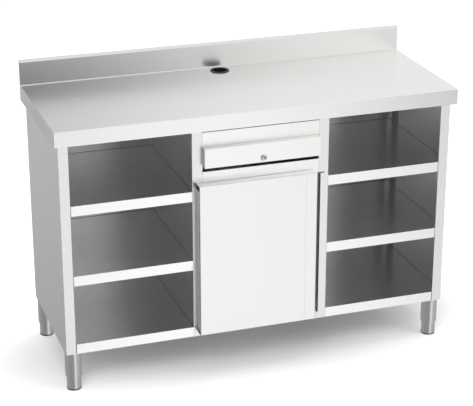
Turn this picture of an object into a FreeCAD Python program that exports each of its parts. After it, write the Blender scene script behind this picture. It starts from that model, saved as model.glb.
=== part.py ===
import FreeCAD, Part
import os
import re
import Sketcher

os.makedirs("parts", exist_ok=True)
doc = FreeCAD.newDocument("waiter_service_station")

# A stainless service counter: a folded worktop with an upstand on a sheet steel
# carcass, open shelves left and right, a lockable drawer above a hinged door in
# the middle, and four levelling legs.  Millimetres; the origin is on the floor
# under the middle of the overall depth and length, +X right, +Y back, +Z up.

# ---------------------------------------------------------------- driving sizes
SIZES = {
    # worktop
    "worktop_length": 1500, "worktop_depth": 560, "worktop_height": 1000,
    "worktop_shift": 8.5, "worktop_sheet": 1.5, "apron_height": 57.5,
    "hem_width": 12, "upstand_height": 95, "upstand_thickness": 14,
    "upstand_bevel": 8, "edge_round": 2.2, "corner_weld": 2.5,
    "core_thickness": 16, "core_gap": 0.5,
    # cable grommet
    "grommet_from_rear": 64, "grommet_hole_r": 30, "grommet_gap": 0.25,
    "grommet_bore_r": 27, "grommet_flange_r": 36, "grommet_flange_t": 2.5,
    "grommet_tube": 27, "grommet_chamfer": 1,
    # carcass
    "side_overhang": 17, "rear_overhang": 10, "frame_setback": 23,
    "carcass_sheet": 1.2, "post_width": 36.5, "post_depth": 14,
    "divider_span": 515, "divider_width": 39,
    "leg_height": 148.5, "shelf_edge": 38, "shelf_pitch": 264.5,
    "shelf_lip": 13, "shelf_flange": 25, "shelf_seam": 2, "fold_round": 1,
    "beam_width": 60, "beam_depth": 20, "beam_wall": 1.5, "beam_from_face": 250,
    "base_channel": 60,
    "top_rail_drop": 50.5, "top_rail_height": 60, "rail_flange": 30,
    "drawer_opening": 86.5, "mid_rail_height": 52.5,
    # legs and feet
    "leg_inset_side": 30.5, "leg_inset_front": 32.5, "leg_inset_rear": 31.5,
    "leg_r": 30, "leg_wall": 1.5, "leg_cap": 3, "leg_tube_end": 53,
    "foot_r": 26, "foot_top": 75, "foot_gap": 0.3, "pad_t": 4, "pad_r": 26.5,
    "spindle_r": 8, "spindle_gap": 0.05, "spindle_clear": 7.5, "plug_height": 20,
    "bolt_r": 5, "bolt_gap": 0.25, "bolt_head": 9.2, "bolt_head_t": 6.4,
    "nut_t": 8, "bolt_end": 2,
    # drawer
    "drawer_side_cover": 0.5, "drawer_top_cover": 6.5, "drawer_proud": 27,
    "drawer_back_gap": 1,
    "finger_gap": 21, "drawer_lip": 10, "drawer_chamfer": 8.5,
    "slide_thick": 12.7, "slide_height": 45, "slide_sheet": 1.2,
    "slide_split": 0.9, "slide_gap": 0.35,
    "slide_web": 3, "slide_above_tray": 5.5,
    "tray_length": 450, "tray_height": 56, "tray_lift": 5.5, "tray_setback": 13,
    "tab_flange": 12, "tab_low": 10,
    # lock
    "lock_lift": 18.2, "barrel_r": 9.5, "barrel_gap": 0.1, "barrel_length": 32.5,
    "bezel_r": 12, "bezel_rim": 0.6, "bezel_face_r": 9.5, "bezel_t": 2.5,
    "dish_r": 8.5, "dish_depth": 1.7, "lock_plug_r": 6, "lock_plug_gap": 0.05,
    "lock_stub_r": 4, "lock_nut_r": 13.5, "lock_nut_t": 3,
    "cam_gap": 1.5, "cam_t": 2, "cam_width": 14, "cam_reach": 48,
    "key_slot": 2, "key_slot_length": 9, "key_slot_depth": 5,
    "cam_slot_margin": 3, "cam_slot_reach": 36,
    # door
    "door_overlap": 24.5, "door_mouth": 17.5, "door_proud": 40, "door_gap": 2,
    "door_over_top": 13, "door_over_floor": 18.5, "grip_width": 43,
    "grip_wall_gap": 4.5, "grip_lip": 8, "grip_flange": 12,
    "pivot_from_edge": 8, "pivot_from_front": 20, "pin_r": 4, "pin_gap": 0.05,
    "pin_length": 16, "bushing_r": 6, "bushing_length": 12,
    "hinge_notch": 20, "hinge_notch_width": 21, "bushing_plate_width": 40,
    "bushing_plate_t": 3, "bracket_t": 3, "bracket_gap": 0.3,
    "bracket_flange_t": 1.5, "bracket_width": 20, "bracket_nose": 9,
    # finger recess beside the door
    "recess_inset": 9.5, "recess_cover": 14, "recess_depth": 32,
    "recess_below": 12.5, "recess_slit": 4,
    # catch and buffers
    "catch_length": 50, "catch_depth": 30, "catch_height": 20, "catch_inset": 18,
    "catch_gap": 0.3, "strike_t": 1.7, "strike_height": 14,
    "buffer_r": 4, "buffer_t": 1.6, "buffer_in": 30,
}
# Places that follow from the driving sizes, used by more than one piece.
PLACES = {
    "top_front": "worktop_shift - worktop_depth / 2",
    "top_rear": "worktop_shift + worktop_depth / 2",
    "top_half": "worktop_length / 2",
    "apron_low": "worktop_height - apron_height",
    "upstand_top": "worktop_height + upstand_height",
    "upstand_front": "top_rear - upstand_thickness",
    "core_low": "worktop_height - worktop_sheet - core_thickness",
    "grommet_y": "top_rear - grommet_from_rear",
    "face": "top_front + frame_setback",
    "rear": "top_rear - rear_overhang",
    "back_in": "rear - carcass_sheet",
    "side_out": "top_half - side_overhang",
    "side_in": "side_out - carcass_sheet",
    "post_in": "side_out - post_width",
    "div_out": "divider_span / 2",
    "div_in": "div_out - divider_width",
    "floor_top": "leg_height + shelf_edge",
    "lower_top": "floor_top + shelf_pitch",
    "upper_top": "lower_top + shelf_pitch",
    "rail_top": "core_low - top_rail_drop",
    "rail_low": "rail_top - top_rail_height",
    "mid_top": "rail_low - drawer_opening",
    "mid_low": "mid_top - mid_rail_height",
    "leg_nut_low": "leg_height - leg_cap - nut_t",
    "leg_bolt_low": "leg_nut_low - bolt_end",
    "spindle_top": "leg_bolt_low - spindle_clear",
    "leg_x": "side_out - leg_inset_side",
    "leg_front_y": "face + leg_inset_front",
    "leg_rear_y": "rear - leg_inset_rear",
    "drawer_half": "div_in + drawer_side_cover",
    "drawer_front_y": "face - drawer_proud",
    "drawer_low": "mid_top + finger_gap",
    "drawer_top": "rail_low + drawer_top_cover",
    "tray_half": "div_in - slide_thick",
    "tray_front": "face + tray_setback",
    "tray_low": "drawer_low + tray_lift",
    "tray_top": "tray_low + tray_height",
    "slide_low": "tray_low + slide_above_tray",
    "slide_mid": "slide_low + slide_height / 2",
    "slide_half_t": "(slide_thick - slide_split) / 2",
    "lock_z": "drawer_low + lock_lift",
    "cam_y": "drawer_front_y + barrel_length + cam_gap",
    "door_left": "div_in + door_overlap",
    "door_right": "div_in - door_mouth",
    "grip_line": "door_right - grip_width",
    "grip_wall_reach": "div_in - grip_wall_gap",
    "recess_edge": "div_in + recess_inset",
    "recess_flange": "recess_edge + recess_cover",
    "door_front_y": "face - door_proud",
    "door_rear_y": "face - door_gap",
    "door_low": "floor_top - door_over_floor",
    "door_top": "mid_low + door_over_top",
    "pivot_x": "-door_left + pivot_from_edge",
    "pivot_y": "door_front_y + pivot_from_front",
    "notch_top": "door_top - hinge_notch",
    "notch_low": "door_low + hinge_notch",
    "recess_low": "floor_top - recess_below",
    "recess_top": "mid_low - recess_slit",
}

sheet = doc.addObject("Spreadsheet::Sheet", "Sizes")
for row, (name, number) in enumerate(SIZES.items(), start=1):
    sheet.set("A%d" % row, name)
    sheet.set("B%d" % row, str(number))
    sheet.setAlias("B%d" % row, name)
doc.recompute()


def formula(text):
    """Write a size or place in the spreadsheet's own names."""
    def swap(match):
        word = match.group(0)
        if word in PLACES:
            return "(" + formula(PLACES[word]) + ")"
        return "Sizes." + word if word in SIZES else word
    return re.sub(r"[A-Za-z_]\w*", swap, str(text))


def number(text):
    return float(sheet.evalExpression(formula(text)))


def flip(text):
    return "-(%s)" % text


def span(side, low, high):
    """A range along X on the right (1), or mirrored to the left (-1)."""
    return (low, high) if side > 0 else (flip(high), flip(low))


def bind(thing, **values):
    for key, text in values.items():
        thing.setExpression(key.replace("__", "."), formula(text))


def place(thing, x=0, y=0, z=0, turn=None):
    if turn:
        thing.Placement.Rotation = FreeCAD.Rotation(FreeCAD.Vector(*turn[:3]), turn[3])
    bind(thing, Placement__Base__x=x, Placement__Base__y=y, Placement__Base__z=z)


# ------------------------------------------------------- ways of making a piece
nodes = []


def new_body(label):
    body = doc.addObject("PartDesign::Body", label)
    body.Label = label
    return body


def keep(thing, label=None):
    if label:
        thing.Label = label
    nodes.append(thing)
    return thing


def sketch_on(body, plane, offset=None):
    sketch = body.newObject("Sketcher::SketchObject", body.Name + "_sketch")
    origin = [o for o in body.Origin.OriginFeatures if o.Role == plane + "_Plane"][0]
    sketch.AttachmentSupport = [(origin, "")]
    sketch.MapMode = "FlatFace"
    if offset is not None:
        bind(sketch, AttachmentOffset__Base__z=offset)
    return sketch


def hold(sketch, kind, *where):
    text = where[-1]
    index = sketch.addConstraint(Sketcher.Constraint(kind, *where[:-1], number(text)))
    sketch.setExpression("Constraints[%d]" % index, formula(text))


def outline(body, plane, points, offset=None):
    """A closed outline with every corner held to the sizes."""
    sketch = sketch_on(body, plane, offset)
    corners = [FreeCAD.Vector(number(a), number(b), 0) for a, b in points]
    for i, corner in enumerate(corners):
        following = corners[(i + 1) % len(corners)]
        sketch.addGeometry(Part.LineSegment(corner, following), False)
    for i in range(len(corners)):
        following = (i + 1) % len(corners)
        sketch.addConstraint(Sketcher.Constraint("Coincident", i, 2, following, 1))
    for i, (a, b) in enumerate(points):
        hold(sketch, "DistanceX", -1, 1, i, 1, a)
        hold(sketch, "DistanceY", -1, 1, i, 1, b)
    return sketch


def rectangle(a0, a1, b0, b1):
    return [(a0, b0), (a1, b0), (a1, b1), (a0, b1)]


def circle(body, plane, a, b, radius, offset=None):
    sketch = sketch_on(body, plane, offset)
    centre = FreeCAD.Vector(number(a), number(b), 0)
    round_line = Part.Circle(centre, FreeCAD.Vector(0, 0, 1), number(radius))
    sketch.addGeometry(round_line, False)
    hold(sketch, "DistanceX", -1, 1, 0, 3, a)
    hold(sketch, "DistanceY", -1, 1, 0, 3, b)
    hold(sketch, "Radius", 0, radius)
    return sketch


def pad(body, sketch, length, back=False):
    feature = body.newObject("PartDesign::Pad", body.Name + "_pad")
    feature.Profile = (sketch, [""])
    feature.Reversed = back
    bind(feature, Length=length)
    doc.recompute()
    return feature


def pocket_through(body, sketch):
    feature = body.newObject("PartDesign::Pocket", body.Name + "_pocket")
    feature.Profile = (sketch, [""])
    feature.SideType = "Symmetric"
    feature.Type = "ThroughAll"
    doc.recompute()
    return feature


def block(body, x, y, z, cut=False):
    """Add or cut a block; x, y and z are (low, high)."""
    kind = "PartDesign::SubtractiveBox" if cut else "PartDesign::AdditiveBox"
    feature = body.newObject(kind, body.Name + "_block")
    bind(feature, Length="(%s) - (%s)" % (x[1], x[0]),
         Width="(%s) - (%s)" % (y[1], y[0]), Height="(%s) - (%s)" % (z[1], z[0]))
    place(feature, x[0], y[0], z[0])
    doc.recompute()
    return feature


def turned(label, points, x=0, y=0, z=0, turn=None):
    """A piece turned about its own axis from a half section of (radius, height)."""
    body = new_body(label)
    sketch = outline(body, "XZ", points)
    feature = body.newObject("PartDesign::Revolution", label + "_turned")
    feature.Profile = (sketch, [""])
    axis = [o for o in body.Origin.OriginFeatures if o.Role == "Z_Axis"][0]
    feature.ReferenceAxis = (axis, [""])
    feature.Angle = 360
    doc.recompute()
    place(body, x, y, z, turn)
    return body


def plate(label, x, y, z):
    """A flat rectangular piece."""
    thing = doc.addObject("Part::Box", label)
    thing.Label = label
    bind(thing, Length="(%s) - (%s)" % (x[1], x[0]),
         Width="(%s) - (%s)" % (y[1], y[0]), Height="(%s) - (%s)" % (z[1], z[0]))
    place(thing, x[0], y[0], z[0])
    return thing


def hexagon(name, corner_r, height, x, y, z, turn=None):
    """A six-sided prism, as a bolt head or the blank of a nut."""
    thing = doc.addObject("Part::Prism", name)
    thing.Polygon = 6
    bind(thing, Circumradius=corner_r, Height=height)
    place(thing, x, y, z, turn)
    return thing


def rod(name, radius, height, x=0, y=0, z=0):
    """A plain round bar along Z."""
    thing = doc.addObject("Part::Cylinder", name)
    bind(thing, Radius=radius, Height=height)
    place(thing, x, y, z)
    return thing


def folded(label, plane, points, start, end, back=False):
    """A folded sheet of constant section, run from start to end."""
    body = new_body(label)
    sketch = outline(body, plane, points, flip(start) if plane == "XZ" else start)
    pad(body, sketch, "(%s) - (%s)" % (end, start), back)
    return body


def round_edges(body, radius, wanted):
    """Round the edges whose middle point passes the test."""
    doc.recompute()
    base = body.Tip
    names = []
    for i, edge in enumerate(base.Shape.Edges, start=1):
        if edge.Length > 20 and wanted(edge.CenterOfMass):
            names.append("Edge%d" % i)
    if not names:
        raise ValueError("no edges to round on " + body.Label)
    feature = body.newObject("PartDesign::Fillet", body.Name + "_round")
    feature.Base = (base, names)
    bind(feature, Radius=radius)
    doc.recompute()
    return feature


def near(a, text):
    return abs(a - number(text)) < 0.01


def group(label, things):
    thing = doc.addObject("Part::Compound", label)
    thing.Label = label
    thing.Links = things
    return keep(thing)


# ---------------------------------------------------------------------- worktop
# One sheet: hem, front apron, top, upstand front with its bevel, back apron.
root = "worktop_sheet * (sqrt(2) - 1)"
worktop = new_body("worktop")
section = [
    ("top_front + hem_width", "apron_low"), ("top_front", "apron_low"),
    ("top_front", "worktop_height"), ("upstand_front - corner_weld", "worktop_height"),
    ("upstand_front", "worktop_height + corner_weld"),
    ("upstand_front", "upstand_top - upstand_bevel"),
    ("upstand_front + upstand_bevel", "upstand_top"),
    ("top_rear", "upstand_top"), ("top_rear", "apron_low"),
    ("top_rear - worktop_sheet", "apron_low"),
    ("top_rear - worktop_sheet", "upstand_top - worktop_sheet"),
    ("upstand_front + upstand_bevel + " + root, "upstand_top - worktop_sheet"),
    ("upstand_front + worktop_sheet", "upstand_top - upstand_bevel - " + root),
    ("upstand_front + worktop_sheet", "worktop_height - worktop_sheet"),
    ("top_front + worktop_sheet", "worktop_height - worktop_sheet"),
    ("top_front + worktop_sheet", "apron_low + worktop_sheet"),
    ("top_front + hem_width", "apron_low + worktop_sheet"),
]
pad(worktop, outline(worktop, "YZ", section, flip("top_half")), "worktop_length")
side_shape = [
    ("top_front", "apron_low"), ("top_rear", "apron_low"),
    ("top_rear", "upstand_top"), ("upstand_front + upstand_bevel", "upstand_top"),
    ("upstand_front", "upstand_top - upstand_bevel"),
    ("upstand_front", "worktop_height + corner_weld"),
    ("upstand_front - corner_weld", "worktop_height"), ("top_front", "worktop_height"),
]
for side in (-1, 1):
    ends = span(side, "top_half - worktop_sheet", "top_half")
    pad(worktop, outline(worktop, "YZ", side_shape, ends[0]), "worktop_sheet")
    block(worktop, span(side, "top_half - hem_width", "top_half"),
          ("top_front", "top_rear"), ("apron_low", "apron_low + worktop_sheet"))
pocket_through(worktop, circle(worktop, "XY", 0, "grommet_y", "grommet_hole_r"))
round_edges(worktop, "edge_round", lambda p: (
    (near(p.z, "worktop_height") and (near(p.y, "top_front") or near(abs(p.x), "top_half")))
    or (near(abs(p.x), "top_half") and near(p.y, "top_front"))))
keep(worktop)

core = new_body("worktop_core")
core_half = "top_half - worktop_sheet - core_gap"
pad(core, outline(core, "XY", rectangle(
    flip(core_half), core_half, "top_front + worktop_sheet + core_gap",
    "top_rear - worktop_sheet - core_gap")), "core_thickness")
pocket_through(core, circle(core, "XY", 0, "grommet_y", "grommet_hole_r"))
place(core, 0, 0, "core_low")
keep(core)

tube_r = "grommet_hole_r - grommet_gap"
keep(turned("cable_grommet", [
    ("grommet_bore_r", flip("grommet_tube")), (tube_r, flip("grommet_tube")),
    (tube_r, 0), ("grommet_flange_r", 0),
    ("grommet_flange_r", "grommet_flange_t - grommet_chamfer"),
    ("grommet_flange_r - grommet_chamfer", "grommet_flange_t"),
    ("grommet_bore_r", "grommet_flange_t"),
], 0, "grommet_y", "worktop_height"))

# ---------------------------------------------------------------------- carcass
upright = ("leg_height", "core_low")
rise = "core_low - leg_height"


def front_upright(p):
    """The upright folds along the frame's front face."""
    return near(p.y, "face") and near(p.z, "(leg_height + core_low) / 2")


for side, word in ((-1, "left"), (1, "right")):
    keep(plate(word + "_side_panel", span(side, "side_in", "side_out"),
               ("face + carcass_sheet", "rear"), upright))
    # The post's face covers the edge of the side panel; its legs reach back.
    across = ["side_out", "post_in", "post_in", "post_in + carcass_sheet",
              "post_in + carcass_sheet", "side_in - carcass_sheet",
              "side_in - carcass_sheet", "side_in", "side_in", "side_out"]
    along = ["face", "face", "face + post_depth", "face + post_depth",
             "face + carcass_sheet", "face + carcass_sheet",
             "face + post_depth", "face + post_depth",
             "face + carcass_sheet", "face + carcass_sheet"]
    xs = across if side > 0 else [flip(a) for a in across]
    post = new_body(word + "_front_post")
    pad(post, outline(post, "XY", list(zip(xs, along)), "leg_height"), rise)
    round_edges(post, "fold_round", front_upright)
    keep(post)

keep(plate("back_panel", (flip("side_in"), "side_in"), ("back_in", "rear"), upright))

recess_cut = ("recess_low", "mid_low")
for side, word in ((-1, "left"), (1, "right")):
    across = ["div_out", "div_out", "div_in", "div_in", "div_in + carcass_sheet",
              "div_in + carcass_sheet", "div_out - carcass_sheet",
              "div_out - carcass_sheet"]
    along = ["back_in", "face", "face", "back_in", "back_in", "face + carcass_sheet",
             "face + carcass_sheet", "back_in"]
    xs = across if side > 0 else [flip(a) for a in across]
    divider = new_body(word + "_divider")
    pad(divider, outline(divider, "XY", list(zip(xs, along)), "leg_height"), rise)
    round_edges(divider, "fold_round", front_upright)
    if side > 0:
        block(divider, ("div_in - 1", "recess_flange"),
              ("face - 1", "face + recess_depth"), recess_cut, cut=True)
    keep(divider)

# The recess beside the door: a Z fold let into the right divider with a slit
# over it, closed at its top and bottom.
recess = new_body("finger_recess")
pad(recess, outline(recess, "XY", [
    ("recess_flange", "face"), ("recess_edge", "face"),
    ("recess_edge", "face + recess_depth - carcass_sheet"),
    ("div_in", "face + recess_depth - carcass_sheet"),
    ("div_in", "face + recess_depth"),
    ("recess_edge + carcass_sheet", "face + recess_depth"),
    ("recess_edge + carcass_sheet", "face + carcass_sheet"),
    ("recess_flange", "face + carcass_sheet"),
], "recess_low"), "recess_top - (recess_low)")
for low in ("recess_low", "recess_top - carcass_sheet"):
    block(recess, ("div_in", "recess_edge + carcass_sheet"),
          ("face", "face + recess_depth"), (low, low + " + carcass_sheet"))
keep(recess)


def rail(label, low, high):
    """A C fold between the dividers, open at the back."""
    body = folded(label, "YZ", [
        ("face + rail_flange", low), ("face", low), ("face", high),
        ("face + rail_flange", high), ("face + rail_flange", high + " - carcass_sheet"),
        ("face + carcass_sheet", high + " - carcass_sheet"),
        ("face + carcass_sheet", low + " + carcass_sheet"),
        ("face + rail_flange", low + " + carcass_sheet"),
    ], flip("div_in"), "div_in")
    round_edges(body, "fold_round", lambda p: near(p.y, "face") and near(p.x, 0))
    return body


keep(rail("top_rail", "rail_low", "rail_top"))
mid_rail = rail("middle_rail", "mid_low", "mid_top")
block(mid_rail, ("-cam_width / 2 - cam_slot_margin", "cam_slot_reach"),
      ("cam_y - cam_slot_margin", "cam_y + cam_t + cam_slot_margin"),
      ("mid_top - carcass_sheet - 1", "mid_top + 1"), cut=True)
keep(mid_rail)


def shelf(label, side, low, high, top):
    """A folded tray: front edge with a return, back flange and end flanges."""
    ends = span(side, low, high)
    body = folded(label, "YZ", [
        ("face + shelf_lip", top + " - shelf_edge"), ("face", top + " - shelf_edge"),
        ("face", top), ("back_in", top), ("back_in", top + " - shelf_flange"),
        ("back_in - carcass_sheet", top + " - shelf_flange"),
        ("back_in - carcass_sheet", top + " - carcass_sheet"),
        ("face + carcass_sheet", top + " - carcass_sheet"),
        ("face + carcass_sheet", top + " - shelf_edge + carcass_sheet"),
        ("face + shelf_lip", top + " - shelf_edge + carcass_sheet"),
    ], ends[0], ends[1])
    middle = "((%s) + (%s)) / 2" % ends
    round_edges(body, "fold_round", lambda p: near(p.y, "face") and near(p.x, middle))
    if high == "side_in":
        block(body, span(side, "post_in - shelf_seam", "side_in + 1"),
              ("face - 1", "face + post_depth"), (top + " - shelf_edge - 1", top + " + 1"),
              cut=True)
    for end in (span(side, low, low + " + carcass_sheet"),
                span(side, high + " - carcass_sheet", high)):
        block(body, end, ("face + post_depth", "back_in"), (top + " - shelf_flange", top))
    return keep(body)


beams = []
for side, word in ((-1, "left"), (1, "right")):
    for height, top in (("upper", "upper_top"), ("lower", "lower_top"),
                        ("bottom", "floor_top")):
        shelf("%s_%s_shelf" % (word, height), side, "div_out", "side_in", top)
        if height == "bottom":
            continue
        low = top + " - carcass_sheet - beam_depth"
        ends = span(side, "div_out + carcass_sheet", "side_in - carcass_sheet")
        beam = folded("beam_%s_%s" % (word, height), "YZ", rectangle(
            "face + beam_from_face", "face + beam_from_face + beam_width",
            low, low + " + beam_depth"), ends[0], ends[1])
        block(beam, (ends[0] + " - 1", ends[1] + " + 1"),
              ("face + beam_from_face + beam_wall",
               "face + beam_from_face + beam_width - beam_wall"),
              (low + " + beam_wall", low + " + beam_depth - beam_wall"), cut=True)
        beams.append(beam)
shelf("cupboard_floor", 1, flip("div_in"), "div_in", "floor_top")
group("shelf_stiffeners", beams)

for side, word in ((-1, "left"), (1, "right")):
    high = "side_in - carcass_sheet"
    low = high + " - base_channel"
    across = [low, high, high, high + " - carcass_sheet", high + " - carcass_sheet",
              low + " + carcass_sheet", low + " + carcass_sheet", low]
    up = ["leg_height", "leg_height", "floor_top - carcass_sheet",
          "floor_top - carcass_sheet", "leg_height + carcass_sheet",
          "leg_height + carcass_sheet", "floor_top - carcass_sheet",
          "floor_top - carcass_sheet"]
    xs = across if side > 0 else [flip(a) for a in across]
    channel = folded(word + "_base_channel", "XZ", list(zip(xs, up)),
                     "face + post_depth", "back_in - carcass_sheet", back=True)
    for leg_y in ("leg_front_y", "leg_rear_y"):
        leg_at = "leg_x" if side > 0 else flip("leg_x")
        pocket_through(channel, circle(channel, "XY", leg_at, leg_y, "bolt_r + bolt_gap"))
    keep(channel)

# ---------------------------------------------------------------- legs and feet
plugs = []
bolts = []
for side, word in ((-1, "left"), (1, "right")):
    for leg_y, end in (("leg_front_y", "front"), ("leg_rear_y", "rear")):
        at = ("leg_x" if side > 0 else flip("leg_x"), leg_y)
        name = "%s_%s" % (end, word)
        keep(turned(name + "_leg", [
            ("leg_r - leg_wall", "leg_tube_end"), ("leg_r", "leg_tube_end"),
            ("leg_r", "leg_height"), ("bolt_r + bolt_gap", "leg_height"),
            ("bolt_r + bolt_gap", "leg_height - leg_cap"),
            ("leg_r - leg_wall", "leg_height - leg_cap"),
        ], *at))
        plugs.append(turned("plug_" + name, rectangle(
            "spindle_r + spindle_gap", "leg_r - leg_wall", "foot_top + foot_gap",
            "foot_top + foot_gap + plug_height"), *at))
        keep(turned(name + "_foot", [
            (0, "pad_t"), ("foot_r", "pad_t"), ("foot_r", "foot_top"),
            ("spindle_r", "foot_top"), ("spindle_r", "spindle_top"), (0, "spindle_top"),
        ], *at))
        keep(turned(name + "_foot_pad", rectangle(0, "pad_r", 0, "pad_t"), *at))
        bolt = doc.addObject("Part::Fuse", "bolt_" + name)
        bolt.Base = hexagon("head_" + name, "bolt_head", "bolt_head_t", *at,
                            "leg_height + carcass_sheet")
        bolt.Tool = rod("shank_" + name, "bolt_r",
                        "leg_height + carcass_sheet - leg_bolt_low", *at, "leg_bolt_low")
        nut = doc.addObject("Part::Cut", "nut_" + name)
        nut.Base = hexagon("blank_" + name, "bolt_head", "nut_t", *at, "leg_nut_low")
        nut.Tool = rod("bore_" + name, "bolt_r", "nut_t", *at, "leg_nut_low")
        bolts += [bolt, nut]
group("leg_plugs", plugs)
group("leg_bolts", bolts)

# ----------------------------------------------------------------------- drawer
front = new_body("drawer_front")
pad(front, outline(front, "XZ", rectangle(
    flip("drawer_half"), "drawer_half", "drawer_low", "drawer_top"),
    flip("drawer_front_y")), "drawer_proud - drawer_back_gap", back=True)
round_edges(front, "fold_round", lambda p: near(p.y, "drawer_front_y"))
block(front, ("-drawer_half + carcass_sheet", "drawer_half - carcass_sheet"),
      ("drawer_front_y + carcass_sheet", "face + 1"),
      ("drawer_low + carcass_sheet", "drawer_top - carcass_sheet"), cut=True)
slope = outline(front, "YZ", [
    ("drawer_front_y + drawer_lip", "drawer_low - 1"), ("face + 1", "drawer_low - 1"),
    ("face + 1", "drawer_low + drawer_chamfer"), ("face", "drawer_low + drawer_chamfer"),
    ("drawer_front_y + drawer_lip", "drawer_low + 0.01"),
])
pocket_through(front, slope)
lock_hole = circle(front, "XZ", 0, "lock_z", "barrel_r + barrel_gap",
                   "drawer_proud - face + 1")
lock_cut = front.newObject("PartDesign::Pocket", "lock_hole")
lock_cut.Profile = (lock_hole, [""])
bind(lock_cut, Length="carcass_sheet + 4")
doc.recompute()
keep(front)

tray = new_body("drawer_tray")
tray_rear = "tray_front + tray_length"
pad(tray, outline(tray, "XY", rectangle(
    flip("tray_half"), "tray_half", "tray_front", tray_rear), "tray_low"), "tray_height")
block(tray, ("-tray_half + carcass_sheet", "tray_half - carcass_sheet"),
      ("tray_front + carcass_sheet", tray_rear + " - carcass_sheet"),
      ("tray_low + carcass_sheet", "tray_top + 1"), cut=True)
skin = "drawer_front_y + carcass_sheet"
for side in (-1, 1):
    block(tray, span(side, "tray_half - carcass_sheet", "tray_half"),
          (skin, "tray_front + carcass_sheet"), ("tray_low + tab_low", "tray_top"))
    block(tray, span(side, "tray_half - tab_flange", "tray_half"),
          (skin, skin + " + carcass_sheet"), ("tray_low + tab_low", "tray_top"))
keep(tray)

# Telescopic slides: the outer member on the divider, the inner one on the tray
# and an I-shaped middle member between them.
slide_run = ("tray_front", tray_rear)
flange_low = "slide_low + slide_sheet"
flange_top = "slide_low + slide_height - slide_sheet"


def channel_section(side, wall, tip):
    """A C section with its web at wall and its flanges reaching to tip."""
    sign = "+" if number(tip) > number(wall) else "-"
    inside = "%s %s slide_sheet" % (wall, sign)
    across = [wall, tip, tip, inside, inside, tip, tip, wall]
    up = ["slide_low", "slide_low", flange_low, flange_low, flange_top, flange_top,
          "slide_low + slide_height", "slide_low + slide_height"]
    xs = across if side > 0 else [flip(a) for a in across]
    return list(zip(xs, up))


for side, word in ((-1, "left"), (1, "right")):
    keep(folded(word + "_slide_outer", "XZ",
                channel_section(side, "div_in", "div_in - slide_half_t"),
                *slide_run, back=True))
    keep(folded(word + "_slide_inner", "XZ",
                channel_section(side, "tray_half", "tray_half + slide_half_t"),
                *slide_run, back=True))
    out_a = "div_in - slide_sheet - slide_gap - slide_sheet"
    in_b = "tray_half + slide_sheet + slide_gap + slide_sheet"
    low = flange_low + " + slide_gap"
    top = flange_top + " - slide_gap"
    web_low = "slide_mid - slide_web / 2"
    web_top = "slide_mid + slide_web / 2"
    across = [in_b + " - slide_sheet", in_b, in_b, out_a, out_a, out_a + " + slide_sheet",
              out_a + " + slide_sheet", out_a, out_a, in_b, in_b, in_b + " - slide_sheet"]
    up = [low, low, web_low, web_low, low, low, top, top, web_top, web_top, top, top]
    xs = across if side > 0 else [flip(a) for a in across]
    keep(folded(word + "_slide_middle", "XZ", list(zip(xs, up)), *slide_run, back=True))

# Cam lock, its axis along Y; heights in the half sections run to the front.
forward = (1, 0, 0, 90)
lock_at = (0, "drawer_front_y", "lock_z")
bore_r = "lock_plug_r + lock_plug_gap"
plug_face = "bezel_t - dish_depth"
keep(turned("lock_body", [
    (bore_r, flip("barrel_length")), ("barrel_r", flip("barrel_length")),
    ("barrel_r", 0), ("bezel_r", 0), ("bezel_r", "bezel_rim"),
    ("bezel_face_r", "bezel_t"), ("dish_r", "bezel_t"), (bore_r, plug_face),
], *lock_at, turn=forward))
lock_plug = turned("lock_plug", [
    (0, plug_face), ("lock_plug_r", plug_face),
    ("lock_plug_r", "-barrel_length - cam_gap"),
    ("lock_stub_r", "-barrel_length - cam_gap"),
    ("lock_stub_r", "-barrel_length - cam_gap - cam_t"),
    (0, "-barrel_length - cam_gap - cam_t"),
], *lock_at, turn=forward)
block(lock_plug, ("-key_slot / 2", "key_slot / 2"),
      ("-key_slot_length / 2", "key_slot_length / 2"),
      (plug_face + " - key_slot_depth", "bezel_t + 1"), cut=True)
keep(lock_plug)
lock_nut = doc.addObject("Part::Cut", "lock_nut")
lock_nut.Base = hexagon("lock_nut_blank", "lock_nut_r", "lock_nut_t", 0, 0, 0)
lock_nut.Tool = rod("lock_nut_bore", "barrel_r", "lock_nut_t")
place(lock_nut, 0, "drawer_front_y + carcass_sheet + lock_nut_t", "lock_z", forward)
keep(lock_nut)
cam = new_body("lock_cam")
pad(cam, outline(cam, "XZ", rectangle(
    "-cam_width / 2", "cam_reach", "-cam_width / 2", "cam_width / 2")), "cam_t", back=True)
pocket_through(cam, circle(cam, "XZ", 0, 0, "lock_stub_r"))
place(cam, 0, "cam_y", "lock_z")
keep(cam)

# ------------------------------------------------------------------------- door
# The front skin is folded back at the hinge side, top and bottom; at the right
# it is the grip, open to the side, with a short lip at its edge.
notch_x = ("-door_left - 1", "-door_left + hinge_notch_width")
notch_y = ("door_front_y + carcass_sheet + edge_round", "face")
notches = (("notch_top", "door_top - carcass_sheet"), ("door_low + carcass_sheet", "notch_low"))
door = new_body("door_skin")
pad(door, outline(door, "XZ", rectangle(
    flip("door_left"), "door_right", "door_low", "door_top"),
    flip("door_front_y")), "door_proud - door_gap", back=True)
round_edges(door, "edge_round", lambda p: near(p.y, "door_front_y"))
block(door, ("-door_left + carcass_sheet", "grip_line + carcass_sheet"),
      ("door_front_y + carcass_sheet", "face"),
      ("door_low + carcass_sheet", "door_top - carcass_sheet"), cut=True)
block(door, ("grip_line + carcass_sheet", "door_right - carcass_sheet"),
      ("door_front_y + carcass_sheet", "face"),
      ("door_low + carcass_sheet", "door_top - carcass_sheet"), cut=True)
block(door, ("door_right - carcass_sheet - 1", "door_right + 1"),
      ("door_front_y + grip_lip", "face"),
      ("door_low + carcass_sheet", "door_top - carcass_sheet"), cut=True)
for notch_z in notches:
    block(door, notch_x, notch_y, notch_z, cut=True)
keep(door)

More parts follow.
